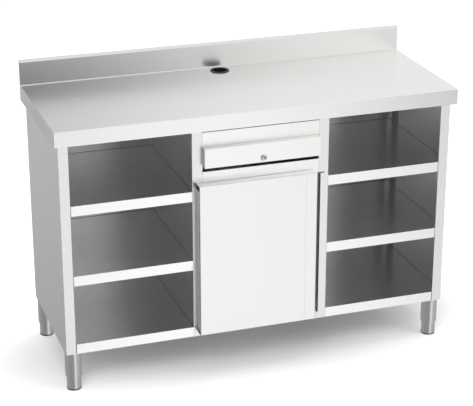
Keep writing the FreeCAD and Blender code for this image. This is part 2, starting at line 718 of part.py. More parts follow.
liner_y = ("door_rear_y - carcass_sheet", "door_rear_y")
liner = new_body("door_liner")
pad(liner, outline(liner, "XZ", rectangle(
    "-door_left + carcass_sheet", "grip_line", "door_low + carcass_sheet",
    "door_top - carcass_sheet"), flip(liner_y[0])), "carcass_sheet", back=True)
for notch_z in notches:
    block(liner, notch_x, ("door_front_y", "face"), notch_z, cut=True)
keep(liner)

# The wall of the grip: glued to the skin in front, its back leg closes the
# opening behind the grip.
grip_z = ("recess_low", "mid_low - 1")
grip = new_body("door_grip_channel")
inner_skin = "door_front_y + carcass_sheet"
pad(grip, outline(grip, "XY", [
    ("grip_line - grip_flange", inner_skin), ("grip_line + carcass_sheet", inner_skin),
    ("grip_line + carcass_sheet", liner_y[0]), ("grip_wall_reach", liner_y[0]),
    ("grip_wall_reach", liner_y[1]), ("grip_line", liner_y[1]),
    ("grip_line", inner_skin + " + carcass_sheet"),
    ("grip_line - grip_flange", inner_skin + " + carcass_sheet"),
], grip_z[0]), "%s - (%s)" % (grip_z[1], grip_z[0]))
for low, high in (("door_low + carcass_sheet", grip_z[0]),
                  (grip_z[1], "door_top - carcass_sheet")):
    block(grip, ("grip_line", "grip_line + carcass_sheet"), (inner_skin, liner_y[1]),
          (low, high))
keep(grip)

# Pivots: a bracket on the divider's face with its pin, and a bushing plate
# inside the door that turns on the pin.
for word, up in (("upper", 1), ("lower", -1)):
    base = "notch_top" if up > 0 else "notch_low"

    def level(text, base=base, up=up):
        return "%s %s (%s)" % (base, "+" if up > 0 else "-", text)

    def levels(low, high, up=up):
        pair = (level(low), level(high))
        return pair if up > 0 else (pair[1], pair[0])

    bracket = new_body(word + "_hinge_bracket")
    plate_z = levels("bracket_gap", "bracket_gap + bracket_t")
    half = "bracket_width / 2"
    block(bracket, ("pivot_x - " + half, "pivot_x + " + half),
          ("pivot_y - bracket_nose", "face"), plate_z)
    block(bracket, ("pivot_x - " + half, "pivot_x + " + half),
          ("face - bracket_flange_t", "face"), levels("bracket_gap", "hinge_notch - 2"))
    pin = circle(bracket, "XY", "pivot_x", "pivot_y", "pin_r", level("bracket_gap"))
    pad(bracket, pin, "pin_length", back=up > 0)
    keep(bracket)

    bushing = new_body(word + "_hinge_bushing")
    block(bushing, ("-door_left + carcass_sheet",
                    "-door_left + carcass_sheet + bushing_plate_width"),
          ("door_front_y + carcass_sheet", liner_y[0]), levels("-bushing_plate_t", "0"))
    boss = circle(bushing, "XY", "pivot_x", "pivot_y", "bushing_r", level("-bushing_plate_t"))
    pad(bushing, boss, "bushing_length", back=up > 0)
    pocket_through(bushing, circle(bushing, "XY", "pivot_x", "pivot_y", "pin_r + pin_gap"))
    keep(bushing)

# Magnetic catch under the middle rail, its strike on the door, and buffers.
catch_right = "grip_line - catch_inset"
catch_x = (catch_right + " - catch_length", catch_right)
keep(plate("magnetic_catch", catch_x,
           ("door_rear_y + strike_t + catch_gap", "face + catch_depth"),
           ("mid_low - catch_height", "mid_low")))
keep(plate("catch_strike", catch_x, ("door_rear_y", "door_rear_y + strike_t"),
           ("mid_low - (catch_height + strike_height) / 2",
            "mid_low - (catch_height - strike_height) / 2")))
buffers = []
for corner, (x, z) in enumerate((
        ("-door_left + hinge_notch_width + buffer_in", "mid_low + door_over_top / 2"),
        ("grip_line - buffer_in", "mid_low + door_over_top / 2"),
        ("-door_left + hinge_notch_width + buffer_in", "floor_top - door_over_floor / 2"),
        ("grip_line - buffer_in", "floor_top - door_over_floor / 2"))):
    buffer = doc.addObject("Part::Cylinder", "buffer_%d" % corner)
    bind(buffer, Radius="buffer_r", Height="buffer_t")
    place(buffer, x, "door_rear_y + buffer_t", z, forward)
    buffers.append(buffer)
group("door_buffers", buffers)

# ---------------------------------------------------------------- check and save
doc.recompute()
for thing in doc.Objects:
    if "Invalid" in thing.State or "Error" in thing.State:
        raise ValueError("%s does not compute" % thing.Label)
for thing in nodes:
    shape = thing.Shape
    if shape.isNull() or not shape.isValid() or not shape.Solids:
        raise ValueError("%s has no valid solid" % thing.Label)
for thing in nodes:
    thing.Shape.exportStep("parts/%s.step" % thing.Label)
print("%d parts written" % len(nodes))
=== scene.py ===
import bpy
import bmesh
import math
from mathutils import Matrix, Vector


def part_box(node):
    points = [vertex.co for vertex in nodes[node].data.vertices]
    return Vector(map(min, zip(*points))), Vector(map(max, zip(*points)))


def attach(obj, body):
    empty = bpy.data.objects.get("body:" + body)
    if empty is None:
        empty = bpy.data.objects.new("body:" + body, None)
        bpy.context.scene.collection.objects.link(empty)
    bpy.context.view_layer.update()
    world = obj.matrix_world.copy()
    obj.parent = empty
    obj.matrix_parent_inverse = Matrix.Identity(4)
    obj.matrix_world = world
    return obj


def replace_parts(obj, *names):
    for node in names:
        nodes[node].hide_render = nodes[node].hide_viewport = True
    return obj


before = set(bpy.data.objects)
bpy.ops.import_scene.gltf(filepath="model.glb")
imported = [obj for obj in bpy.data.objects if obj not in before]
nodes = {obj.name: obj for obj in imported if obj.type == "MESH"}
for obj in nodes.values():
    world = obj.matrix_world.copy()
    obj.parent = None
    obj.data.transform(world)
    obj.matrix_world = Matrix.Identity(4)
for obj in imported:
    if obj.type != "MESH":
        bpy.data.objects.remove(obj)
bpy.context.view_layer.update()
scene = bpy.context.scene

# ------------------------------------------------------------------ camera
# A long lens in front of the left half, looking down at the counter from a
# little over head height.
AZIMUTH = -18.69
ELEVATION = 21.74
DISTANCE = 5.8943
LOOK_AT = Vector((0.0, 0.0085, 0.5034))
SLIDE_RIGHT = -0.00569
SLIDE_UP = 0.03776
FOCAL_PIXELS = 1565.26
IMAGE_WIDTH = 473
SENSOR_WIDTH, FAR_END = 36.0, 60.0

azimuth, elevation = math.radians(AZIMUTH), math.radians(ELEVATION)
back = Vector((math.sin(azimuth) * math.cos(elevation),
               -math.cos(azimuth) * math.cos(elevation), math.sin(elevation)))
right = Vector((0, 0, 1)).cross(back).normalized()
up = back.cross(right)
camera_data = bpy.data.cameras.new("camera")
camera_data.sensor_width = SENSOR_WIDTH
camera_data.lens = SENSOR_WIDTH * FOCAL_PIXELS / IMAGE_WIDTH
camera_data.clip_end = FAR_END
camera = bpy.data.objects.new("camera", camera_data)
scene.collection.objects.link(camera)
turn = Matrix((right, up, back)).transposed().to_4x4()
eye = LOOK_AT + back * DISTANCE + right * SLIDE_RIGHT + up * SLIDE_UP
camera.matrix_world = Matrix.Translation(eye) @ turn
scene.camera = camera

# ----------------------------------------------------------------- worktop
# Folded satin stainless sheet, brushed along its length, welded at the
# corners and ground smooth; it is glued down on its core board.
WORKTOP_TONE, WORKTOP_GLOSS, WORKTOP_STRETCH = (0.80, 0.80, 0.79), (0.22, 0.24), 0.75
SHEET_GLOSS, SHEET_STRETCH, SHEET_RELIEF = (0.26, 0.28), 0.55, 0.03
LINE_LENGTH, LINE_WIDTH, LINES_SCALE, LINES_DETAIL = 0.3, 250.0, 16.0, 3.0
LINE_DARKEST, LINE_LIGHTEST, LINE_DEPTH = 0.993, 1.003, 0.00002


def shader(name):
    """A new material with its node tree and its surface shader."""
    material = bpy.data.materials.new(name)
    material.use_nodes = True
    tree = material.node_tree
    surface = next(n for n in tree.nodes if n.type == "BSDF_PRINCIPLED")
    return material, tree, surface


def wire(tree, source, target):
    tree.links.new(source, target)


def stretched(tree, scale=(1, 1, 1)):
    """Object coordinates, stretched into a grain."""
    coordinates = tree.nodes.new("ShaderNodeTexCoord")
    mapping = tree.nodes.new("ShaderNodeMapping")
    mapping.inputs["Scale"].default_value = scale
    wire(tree, coordinates.outputs["Object"], mapping.inputs["Vector"])
    return mapping.outputs["Vector"]


def noise(tree, vector, scale, detail):
    """A cloudy value of about 0.3 to 0.7."""
    node = tree.nodes.new("ShaderNodeTexNoise")
    node.inputs["Scale"].default_value = scale
    node.inputs["Detail"].default_value = detail
    wire(tree, vector, node.inputs["Vector"])
    return node.outputs["Fac"]


def remap(tree, value, low, high, from_low=0.3, from_high=0.7):
    """Low where the value is at from_low or under it, high from from_high on."""
    node = tree.nodes.new("ShaderNodeMapRange")
    for key, number in (("From Min", from_low), ("From Max", from_high),
                        ("To Min", low), ("To Max", high)):
        node.inputs[key].default_value = number
    wire(tree, value, node.inputs["Value"])
    return node.outputs["Result"]


def mixed(tree, factor, low, high):
    """A colour between low and high."""
    node = tree.nodes.new("ShaderNodeMix")
    node.data_type = "RGBA"
    for socket, colour in (("A", low), ("B", high)):
        target = [s for s in node.inputs if s.name == socket and s.type == "RGBA"][0]
        if hasattr(colour, "is_linked"):
            wire(tree, colour, target)
        else:
            target.default_value = (*colour, 1.0)
    factor_in = [s for s in node.inputs if s.name == "Factor" and s.type == "VALUE"][0]
    wire(tree, factor, factor_in)
    return [s for s in node.outputs if s.type == "RGBA"][0]


def bump(tree, surface, height, distance, strength):
    """A fine relief of the surface."""
    node = tree.nodes.new("ShaderNodeBump")
    node.inputs["Distance"].default_value = distance
    node.inputs["Strength"].default_value = strength
    wire(tree, height, node.inputs["Height"])
    wire(tree, node.outputs["Normal"], surface.inputs["Normal"])


def satin_steel(name, tone, along, gloss=SHEET_GLOSS, stretch=SHEET_STRETCH,
                relief=SHEET_RELIEF):
    """Satin stainless sheet, brushed along one axis; its highlights spread across the lines."""
    material, tree, surface = shader(name)
    surface.inputs["Metallic"].default_value = 1.0
    surface.inputs["Anisotropic"].default_value = stretch
    grain = [LINE_LENGTH if axis == along else LINE_WIDTH for axis in "XYZ"]
    lines = noise(tree, stretched(tree, grain), LINES_SCALE, LINES_DETAIL)
    darker = tuple(LINE_DARKEST * c for c in tone)
    lighter = tuple(min(1.0, LINE_LIGHTEST * c) for c in tone)
    wire(tree, mixed(tree, remap(tree, lines, 0.0, 1.0), darker, lighter),
         surface.inputs["Base Color"])
    wire(tree, remap(tree, lines, *gloss), surface.inputs["Roughness"])
    across = tree.nodes.new("ShaderNodeTangent")
    across.direction_type = "RADIAL"
    across.axis = along
    wire(tree, across.outputs["Tangent"], surface.inputs["Tangent"])
    bump(tree, surface, lines, LINE_DEPTH, relief)
    return material


def dress(material, *names):
    """Give CAD nodes their finish."""
    for name in names:
        slots = nodes[name].material_slots
        if not slots:
            nodes[name].data.materials.append(material)
        for slot in slots:
            slot.material = material


dress(satin_steel("worktop_satin", WORKTOP_TONE, "X", WORKTOP_GLOSS, WORKTOP_STRETCH),
      "worktop")

# ----------------------------------------------------------------- core board
# Board with a grey melamine face, glued under the sheet; it shows only from
# below and over the open bays.
MELAMINE_DARK, MELAMINE_LIGHT = (0.60, 0.60, 0.59), (0.66, 0.66, 0.65)
RELIEF_STRENGTH = 0.3


def mottled(name, dark, light, fineness, roughness, detail=3.0, metallic=0.0,
            specular=0.5, relief=0.0):
    """A finish that wanders between two tones in small specks, fineness to the metre."""
    material, tree, surface = shader(name)
    surface.inputs["Metallic"].default_value = metallic
    surface.inputs["Specular IOR Level"].default_value = specular
    specks = noise(tree, stretched(tree), fineness, detail)
    wire(tree, mixed(tree, specks, dark, light), surface.inputs["Base Color"])
    if isinstance(roughness, tuple):
        wire(tree, remap(tree, specks, *roughness), surface.inputs["Roughness"])
    else:
        surface.inputs["Roughness"].default_value = roughness
    if relief:
        bump(tree, surface, specks, relief, RELIEF_STRENGTH)
    return material


dress(mottled("grey_melamine", MELAMINE_DARK, MELAMINE_LIGHT, fineness=500.0,
              roughness=0.5, detail=2.0, relief=0.0001), "worktop_core")

# ----------------------------------------------------------------- grommet
# Moulded black plastic bush with a fine matt grain, pressed into the worktop;
# the plugs in the legs and the case of the catch are the same plastic.
PLASTIC_DARK, PLASTIC_LIGHT = (0.008, 0.008, 0.009), (0.014, 0.014, 0.015)
dress(mottled("black_plastic", PLASTIC_DARK, PLASTIC_LIGHT, fineness=900.0,
              roughness=0.42, detail=2.0, specular=0.25, relief=0.0001),
      "cable_grommet", "leg_plugs", "magnetic_catch")

# ----------------------------------------------------------------- carcass
# Folded stainless sheet, riveted and welded: uprights brushed up and down, rails
# and shelves from side to side, base channels from front to back. The sheets seen inside
# the bays wear a brighter copy of the same steel: painted light that lifts the bays.
# The second tone is painted light: the same steel made brighter for the sheets seen inside the
# bays.
CARCASS_TONE, BAY_LIT_TONE = (0.885, 0.885, 0.875), (0.93, 0.93, 0.92)
SIDES, SHELVES = ("left", "right"), ("upper_shelf", "lower_shelf", "bottom_shelf")
dress(satin_steel("carcass_upright", CARCASS_TONE, "Z"),
      "left_side_panel", "left_front_post", "right_front_post", "left_divider",
      "right_divider", "finger_recess")
dress(satin_steel("bay_lit_upright", BAY_LIT_TONE, "Z"), "right_side_panel", "back_panel")
dress(satin_steel("carcass_level", CARCASS_TONE, "X"),
      "top_rail", "middle_rail", "cupboard_floor", "upper_hinge_bracket",
      "lower_hinge_bracket")
dress(satin_steel("bay_lit_level", BAY_LIT_TONE, "X"),
      *[side + "_" + shelf for side in SIDES for shelf in SHELVES])
dress(satin_steel("channel_steel", CARCASS_TONE, "Y"),
      "left_base_channel", "right_base_channel")

# ----------------------------------------------------------------- rivets
# Blind rivets with domed steel heads hold the back sheet to the flanges of the
# side sheets and dividers; each has the pit that its broken-off stem leaves.
RIVET_DARK, RIVET_LIGHT = (0.62, 0.62, 0.61), (0.72, 0.72, 0.71)
RIVET_HEAD = [(0.0, 0.0004), (0.0011, 0.0004), (0.0012, 0.0013), (0.0020, 0.0012),
              (0.0034, 0.0007), (0.0040, 0.0001), (0.0040, -0.0001)]
RIVET_SIDES, SHARP_ANGLE, TOUCHING = 20, math.radians(35), 0.00001
SIDE_ROW, DIVIDER_ROW = 0.720, 0.238
LOWEST_RIVET, RIVET_PITCH, RIVET_ROWS = 0.180, 0.155, 6
TO_REAR = (-math.pi / 2, 0.0, 0.0)


def turned_mesh(name, profile, sides):
    """A mesh turned about Z from (radius, height) points."""
    mesh = bpy.data.meshes.new(name)
    shape = bmesh.new()
    rings = []
    for radius, height in profile:
        if radius == 0.0:
            rings.append([shape.verts.new((0.0, 0.0, height))] * sides)
            continue
        rings.append([shape.verts.new((radius * math.cos(turn), radius * math.sin(turn), height))
                      for turn in (2 * math.pi * step / sides for step in range(sides))])
    for inner, outer in zip(rings, rings[1:]):
        for step in range(sides):
            after = (step + 1) % sides
            corners = [inner[step], outer[step], outer[after], inner[after]]
            shape.faces.new(list(dict.fromkeys(corners)))
    bmesh.ops.remove_doubles(shape, verts=shape.verts, dist=TOUCHING)
    bmesh.ops.recalc_face_normals(shape, faces=shape.faces)
    for face in shape.faces:
        face.smooth = True
    shape.to_mesh(mesh)
    shape.free()
    mesh.set_sharp_from_angle(angle=SHARP_ANGLE)
    return mesh


def new_rule(name, inputs, result):
    """An empty geometry tree with named inputs; gives the tree and its two end nodes."""
    rule = bpy.data.node_groups.new(name, "GeometryNodeTree")
    for label, kind in inputs.items():
        rule.interface.new_socket(label, in_out="INPUT", socket_type="NodeSocket" + kind)
    rule.interface.new_socket(result, in_out="OUTPUT", socket_type="NodeSocketGeometry")
    return rule, rule.nodes.new("NodeGroupInput"), rule.nodes.new("NodeGroupOutput")


def coat(rule, given, shape, result):
    """End a rule with real geometry that wears its finish."""
    real = rule.nodes.new("GeometryNodeRealizeInstances")
    wire(rule, shape, real.inputs["Geometry"])
    coated = rule.nodes.new("GeometryNodeSetMaterial")
    wire(rule, real.outputs["Geometry"], coated.inputs["Geometry"])
    wire(rule, given.outputs["Finish"], coated.inputs["Material"])
    wire(rule, coated.outputs["Geometry"], result)


def rows_rule():
    """Like heads in straight rows: a line of points, repeated along a second line."""
    rows, given, done = new_rule(
        "rows_of_heads", {"Head": "Geometry", "Columns": "Int", "Rows": "Int",
                          "First": "Vector", "Across": "Vector", "Along": "Vector",
                          "Turn": "Vector", "Finish": "Material"}, "Heads")
    lines = []
    for count, offset in (("Columns", "Across"), ("Rows", "Along")):
        line = rows.nodes.new("GeometryNodeMeshLine")
        wire(rows, given.outputs[count], line.inputs["Count"])
        wire(rows, given.outputs[offset], line.inputs["Offset"])
        lines.append(line)
    wire(rows, given.outputs["First"], lines[0].inputs["Start Location"])
    repeated = rows.nodes.new("GeometryNodeInstanceOnPoints")
    wire(rows, lines[1].outputs["Mesh"], repeated.inputs["Points"])
    wire(rows, lines[0].outputs["Mesh"], repeated.inputs["Instance"])
    points = rows.nodes.new("GeometryNodeRealizeInstances")
    wire(rows, repeated.outputs["Instances"], points.inputs["Geometry"])
    heads = rows.nodes.new("GeometryNodeInstanceOnPoints")
    wire(rows, points.outputs["Geometry"], heads.inputs["Points"])
    wire(rows, given.outputs["Head"], heads.inputs["Instance"])
    wire(rows, given.outputs["Turn"], heads.inputs["Rotation"])
    coat(rows, given, heads.outputs["Instances"], done.inputs["Heads"])
    return rows


def made_by_rule(name, start, rule, inputs):
    """The plain mesh that a rule makes from a start mesh."""
    source = bpy.data.objects.new(name + "_start", start)
    scene.collection.objects.link(source)
    modifier = source.modifiers.new("rule", "NODES")
    modifier.node_group = rule
    for item in rule.interface.items_tree:
        if item.in_out == "INPUT" and item.name in inputs:
            modifier[item.identifier] = inputs[item.name]
    bpy.context.view_layer.update()
    made = bpy.data.meshes.new_from_object(
        source.evaluated_get(bpy.context.evaluated_depsgraph_get()))
    source.modifiers.clear()
    bpy.data.objects.remove(source)
    return made


def placed(name, mesh, body):
    """A new piece that rides on a body."""
    piece = bpy.data.objects.new(name, mesh)
    scene.collection.objects.link(piece)
    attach(piece, body)
    return piece


heads_in_rows = rows_rule()


def fixings(name, head, finish, body, finish_slot, **layout):
    """One piece of like heads; layout names the rule's inputs."""
    layout["Finish"] = finish
    return placed(name, made_by_rule(name, head, heads_in_rows, layout), body)


rivet_steel = mottled("rivet_steel", RIVET_DARK, RIVET_LIGHT, fineness=300.0,
                      roughness=(0.24, 0.36), metallic=1.0)
rivet_head = turned_mesh("rivet_head", RIVET_HEAD, RIVET_SIDES)
back_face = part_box("back_panel")[1][1]
for row, half in (("side_rivets", SIDE_ROW), ("divider_rivets", DIVIDER_ROW)):
    fixings(row, rivet_head, rivet_steel, "carcass", "satin_steel",
            Columns=2, Rows=RIVET_ROWS, First=(-half, back_face, LOWEST_RIVET),
            Across=(2 * half, 0.0, 0.0), Along=(0.0, 0.0, RIVET_PITCH), Turn=TO_REAR)

# ----------------------------------------------------------------- joint shade beads
# A thin dark bead lies in the joint between each shelf and the walls beside and behind it:
# painted shade, a dark piece that stands for the shadow line of the gap there.
SHADE_BEAD_DARK, SHADE_BEAD_LIGHT = (0.045, 0.045, 0.045), (0.075, 0.075, 0.074)
BEAD_R, BEAD_SIDES = 0.0009, 10
POST_DEPTH, FOLD_DEPTH = 0.0145, 0.003


def bead_rule():
    """A round bead along every run of the joint."""
    bead, given, done = new_rule(
        "bead_along_joint", {"Joint": "Geometry", "Radius": "Float", "Sides": "Int",
                             "Finish": "Material"}, "Bead")
    run = bead.nodes.new("GeometryNodeMeshToCurve")
    wire(bead, given.outputs["Joint"], run.inputs["Mesh"])
    ring = bead.nodes.new("GeometryNodeCurvePrimitiveCircle")
    wire(bead, given.outputs["Radius"], ring.inputs["Radius"])
    wire(bead, given.outputs["Sides"], ring.inputs["Resolution"])
    swept = bead.nodes.new("GeometryNodeCurveToMesh")
    swept.inputs["Fill Caps"].default_value = True
    wire(bead, run.outputs["Curve"], swept.inputs["Curve"])
    wire(bead, ring.outputs["Curve"], swept.inputs["Profile Curve"])
    coat(bead, given, swept.outputs["Mesh"], done.inputs["Bead"])
    return bead


corners, runs = [], []
for side in SIDES:
    for shelf in SHELVES:
        low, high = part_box(side + "_" + shelf)
        outer, inner = (low[0], high[0]) if side == "left" else (high[0], low[0])
        first = len(corners)
        corners += [(outer, low[1] + POST_DEPTH, high[2]), (outer, high[1], high[2]),
                    (inner, high[1], high[2]), (inner, low[1] + FOLD_DEPTH, high[2])]
        runs += [(first + step, first + step + 1) for step in range(3)]
joints = bpy.data.meshes.new("shelf_joints")
joints.from_pydata(corners, runs, [])
# Painted shade: the dark tone stands for the shadow in the shelf joints.
shade_bead_finish = mottled("joint_shade_dark", SHADE_BEAD_DARK, SHADE_BEAD_LIGHT, fineness=250.0,
                  roughness=0.55, specular=0.25, relief=0.0002)
placed("shelf_joint_shade_beads",
       made_by_rule("bead", joints, bead_rule(),
                    {"Radius": BEAD_R, "Sides": BEAD_SIDES, "Finish": shade_bead_finish}),
       "carcass")

# ----------------------------------------------------------------- corner shade strips
# A flat strip of darker dull metal stands against the outer wall of each open bay, just
# before its rear corner; its dark tone is painted shade of the deep corner there.
CORNER_SHADE_DARK, CORNER_SHADE_LIGHT = (0.40, 0.41, 0.42), (0.48, 0.49, 0.50)
UPRIGHT_SHEET, UPRIGHT_WIDTH, EDGE_ROUND = 0.003, 0.050, 0.0012
FROM_REAR, UPRIGHT_TOP, END_GAP = 0.028, 0.945, 0.0005


def add_upright(shape, wall, inward, rear, foot, head):
    """One closed strip with rounded edges, flat against the wall."""
    front = rear - UPRIGHT_WIDTH
    face, edge = wall + inward * UPRIGHT_SHEET, wall + inward * (UPRIGHT_SHEET - EDGE_ROUND)
    outline = ((wall, front), (edge, front), (face, front + EDGE_ROUND),
               (face, rear - EDGE_ROUND), (edge, rear), (wall, rear))
    rings = [[shape.verts.new((x, y, z)) for x, y in outline] for z in (foot, head)]
    shape.faces.new(rings[0])
    shape.faces.new(rings[1])
    for step in range(len(outline)):
        after = (step + 1) % len(outline)
        shape.faces.new((rings[0][step], rings[0][after], rings[1][after], rings[1][step]))


# Painted shade: the dark tone of the strips stands for the shade in the rear corners.
corner_shade_metal = mottled("corner_shade_metal", CORNER_SHADE_DARK, CORNER_SHADE_LIGHT, fineness=90.0,
                    roughness=(0.40, 0.50), metallic=1.0)
for side in SIDES:
    shape = bmesh.new()
    head = UPRIGHT_TOP
    for shelf in SHELVES:
        low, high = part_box(side + "_" + shelf)
        wall, inward = (low[0], 1) if side == "left" else (high[0], -1)
        add_upright(shape, wall, inward, high[1] - FROM_REAR, high[2] + END_GAP, head)
        head = low[2] - END_GAP
    bmesh.ops.recalc_face_normals(shape, faces=shape.faces)
    uprights = bpy.data.meshes.new(side + "_wall_uprights")
    shape.to_mesh(uprights)
    shape.free()
    uprights.materials.append(corner_shade_metal)
    placed(side + "_wall_uprights", uprights, "carcass")

# ----------------------------------------------------------------- zinc parts
# Zinc plated steel, with the soft spangle of the plating: the drawer slides, the
# shelf stiffeners, the bolts of the legs, the hinge bushings and the strike.
ZINC_DARK, ZINC_LIGHT = (0.50, 0.52, 0.54), (0.62, 0.64, 0.66)
zinc = mottled("bright_zinc", ZINC_DARK, ZINC_LIGHT, fineness=60.0,
               roughness=(0.28, 0.45), metallic=1.0)
dress(zinc, "shelf_stiffeners", "leg_bolts", "catch_strike",
      "upper_hinge_bushing", "lower_hinge_bushing",
      *[side + member for side in SIDES
        for member in ("_slide_outer", "_slide_middle", "_slide_inner")])

# ----------------------------------------------------------------- legs
# Stainless tubes brushed up and down, bolted to the base channels; the feet
# screw into them from below and stand on moulded black rubber pads.
LEG_TONE, LEG_STRETCH = (0.74, 0.74, 0.73), 0.3
RUBBER_DARK, RUBBER_LIGHT = (0.010, 0.010, 0.010), (0.020, 0.020, 0.019)
leg_steel = satin_steel("leg_tube", LEG_TONE, "Z", stretch=LEG_STRETCH)
rubber = mottled("foot_rubber", RUBBER_DARK, RUBBER_LIGHT, fineness=220.0,
                 roughness=0.7, specular=0.2)
for end in ("front_left", "front_right", "rear_left", "rear_right"):
    dress(leg_steel, end + "_leg", end + "_foot")
    dress(rubber, end + "_foot_pad")
dress(rubber, "door_buffers")

# ----------------------------------------------------------------- drawer
# The front is a folded stainless tray, finely brushed from side to side; the
# drawer behind it is folded from the same sheet and welded to it by two tabs.
FRONT_TONE, FRONT_GLOSS, FRONT_RELIEF = (0.88, 0.88, 0.87), (0.266, 0.274), 0.012
dress(satin_steel("front_level", FRONT_TONE, "X", FRONT_GLOSS, relief=FRONT_RELIEF),
      "drawer_front", "drawer_tray")

# ----------------------------------------------------------------- screws
# Pan-head screws with a cross recess, zinc plated: three hold each side of the
# drawer to its slide, two each hinge bracket, and two the magnetic catch.
SCREW_HEAD = [(0.0, 0.0021), (0.0014, 0.0020), (0.0026, 0.0016), (0.0033, 0.0010),
              (0.0036, 0.0003), (0.0036, -0.0001), (0.0, -0.0001)]
SCREW_SIDES = 24
RECESS_LENGTH, RECESS_WIDTH, RECESS_FLOOR, RECESS_CUT = 0.0038, 0.0009, 0.0008, 0.004
TRAY_SHEET, BRACKET_SHEET = 0.0012, 0.0015
SLIDE_INSET, SLIDE_SCREWS = 0.050, 3
BRACKET_INSET, CATCH_INSET = 0.005, 0.009
UPPER_BRACKET_SCREWS, LOWER_BRACKET_SCREWS = 0.735, 0.179
TO_FRONT, DOWN = (math.pi / 2, 0.0, 0.0), (math.pi, 0.0, 0.0)
NO_STEP = (0.0, 0.0, 0.0)


def slots_mesh(name, sizes, floor, depth):
    """Upright bars centred on Z that stand on the floor of a slot."""
    mesh = bpy.data.meshes.new(name)
    shape = bmesh.new()
    for size in sizes:
        bar = bmesh.ops.create_cube(shape, size=1.0)["verts"]
        bmesh.ops.scale(shape, vec=(*size, depth), verts=bar)
        bmesh.ops.translate(shape, vec=(0, 0, floor + depth / 2), verts=bar)
    shape.to_mesh(mesh)
    shape.free()
    return mesh


def cut_away(blank, cutter):
    """The blank with the cutter taken out of it."""
    blocks = []
    for mesh in (blank, cutter):
        blocks.append(bpy.data.objects.new(mesh.name, mesh))
        scene.collection.objects.link(blocks[-1])
    cut = blocks[0].modifiers.new("cut", "BOOLEAN")
    cut.operation = "DIFFERENCE"
    cut.solver = "EXACT"
    cut.use_self = True
    cut.object = blocks[1]
    bpy.context.view_layer.update()
    left = bpy.data.meshes.new_from_object(
        blocks[0].evaluated_get(bpy.context.evaluated_depsgraph_get()))
    for block in blocks:
        bpy.data.objects.remove(block)
    left.set_sharp_from_angle(angle=SHARP_ANGLE)
    return left


cross = slots_mesh("screw_cross",
                   ((RECESS_LENGTH, RECESS_WIDTH), (RECESS_WIDTH, RECESS_LENGTH)),
                   RECESS_FLOOR, RECESS_CUT)
screw_head = cut_away(turned_mesh("screw_blank", SCREW_HEAD, SCREW_SIDES), cross)
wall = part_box("drawer_tray")[1][0] - TRAY_SHEET
low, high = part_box("left_slide_inner")
pitch = (high[1] - low[1] - 2 * SLIDE_INSET) / (SLIDE_SCREWS - 1)
for side, outward in (("left", -1), ("right", 1)):
    fixings(side + "_slide_screws", screw_head, zinc, "drawer", "zinc_steel",
            Columns=SLIDE_SCREWS, Rows=1,
            First=(outward * wall, low[1] + SLIDE_INSET, (low[2] + high[2]) / 2),
            Across=(0.0, pitch, 0.0), Along=NO_STEP, Turn=(0.0, -outward * math.pi / 2, 0.0))
for end, height in (("upper", UPPER_BRACKET_SCREWS), ("lower", LOWER_BRACKET_SCREWS)):
    low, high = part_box(end + "_hinge_bracket")
    fixings(end + "_bracket_screws", screw_head, zinc, "carcass", "zinc_steel",
            Columns=2, Rows=1,
            First=(low[0] + BRACKET_INSET, high[1] - BRACKET_SHEET, height),
            Across=(high[0] - low[0] - 2 * BRACKET_INSET, 0.0, 0.0), Along=NO_STEP,
            Turn=TO_FRONT)
low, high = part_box("magnetic_catch")
fixings("catch_screws", screw_head, zinc, "carcass", "zinc_steel", Columns=2, Rows=1,
        First=(low[0] + CATCH_INSET, (low[1] + high[1]) / 2, low[2]),
        Across=(high[0] - low[0] - 2 * CATCH_INSET, 0.0, 0.0), Along=NO_STEP, Turn=DOWN)

# ----------------------------------------------------------------- lock
# Chromed die casting held by a nut behind the drawer front: a domed collar on a
# threaded barrel, and a plug with a dished face and a key slot, which turns the cam.
CHROME_DARK, CHROME_LIGHT = (0.62, 0.62, 0.64), (0.72, 0.72, 0.74)
COLLAR_DOME = [(6.05, 0.9), (6.3, 1.6), (6.9, 2.2), (7.8, 2.45), (8.9, 2.3), (10.0, 1.9),
               (11.0, 1.3), (11.7, 0.7), (12.0, 0.2), (12.0, 0.0), (9.5, 0.0)]
THREAD_PITCH, THREAD_DEPTH, THREAD_START = 1.5, 0.6, 0.4
BARREL_R, BARREL_LENGTH = 9.5, 32.5
PLUG = [(0.0, -0.9), (2.0, -0.8), (3.6, -0.4), (4.8, 0.2), (5.6, 0.7), (6.0, 0.7), (6.0, -34.0),
        (4.0, -34.0), (4.0, -36.0), (0.0, -36.0)]
KEY_SLOT, KEY_SLOT_FLOOR, KEY_SLOT_CUT = (1.8, 9.0), -5.0, 20.0
MILLIMETRE = 0.001
LOCK_SIDES = 48


def in_metres(profile):
    """A profile given in millimetres, in the scene's unit."""
    return [(radius * MILLIMETRE, height * MILLIMETRE) for radius, height in profile]


thread = []
for ridge in range(int(BARREL_LENGTH / THREAD_PITCH)):
    thread += [(BARREL_R, -ridge * THREAD_PITCH - THREAD_START),
               (BARREL_R - THREAD_DEPTH, -(ridge + 0.5) * THREAD_PITCH - THREAD_START)]
bore = COLLAR_DOME[0][0]
collar = COLLAR_DOME + thread + [(BARREL_R - THREAD_DEPTH, -BARREL_LENGTH),
                                 (bore, -BARREL_LENGTH), COLLAR_DOME[0]]
chrome = mottled("lock_chrome", CHROME_DARK, CHROME_LIGHT, fineness=400.0,
                 roughness=(0.10, 0.18), metallic=1.0)
dress(chrome, "lock_nut", "lock_cam")
low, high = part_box("lock_body")
lock_centre = (0.0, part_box("drawer_front")[0][1], (low[2] + high[2]) / 2)
outward = Matrix.Translation(lock_centre) @ Matrix.Rotation(math.pi / 2, 4, "X")
slot_box = slots_mesh("key_slot", (tuple(size * MILLIMETRE for size in KEY_SLOT),),
                      KEY_SLOT_FLOOR * MILLIMETRE, KEY_SLOT_CUT * MILLIMETRE)
plug_blank = turned_mesh("lock_plug_blank", in_metres(PLUG), LOCK_SIDES)
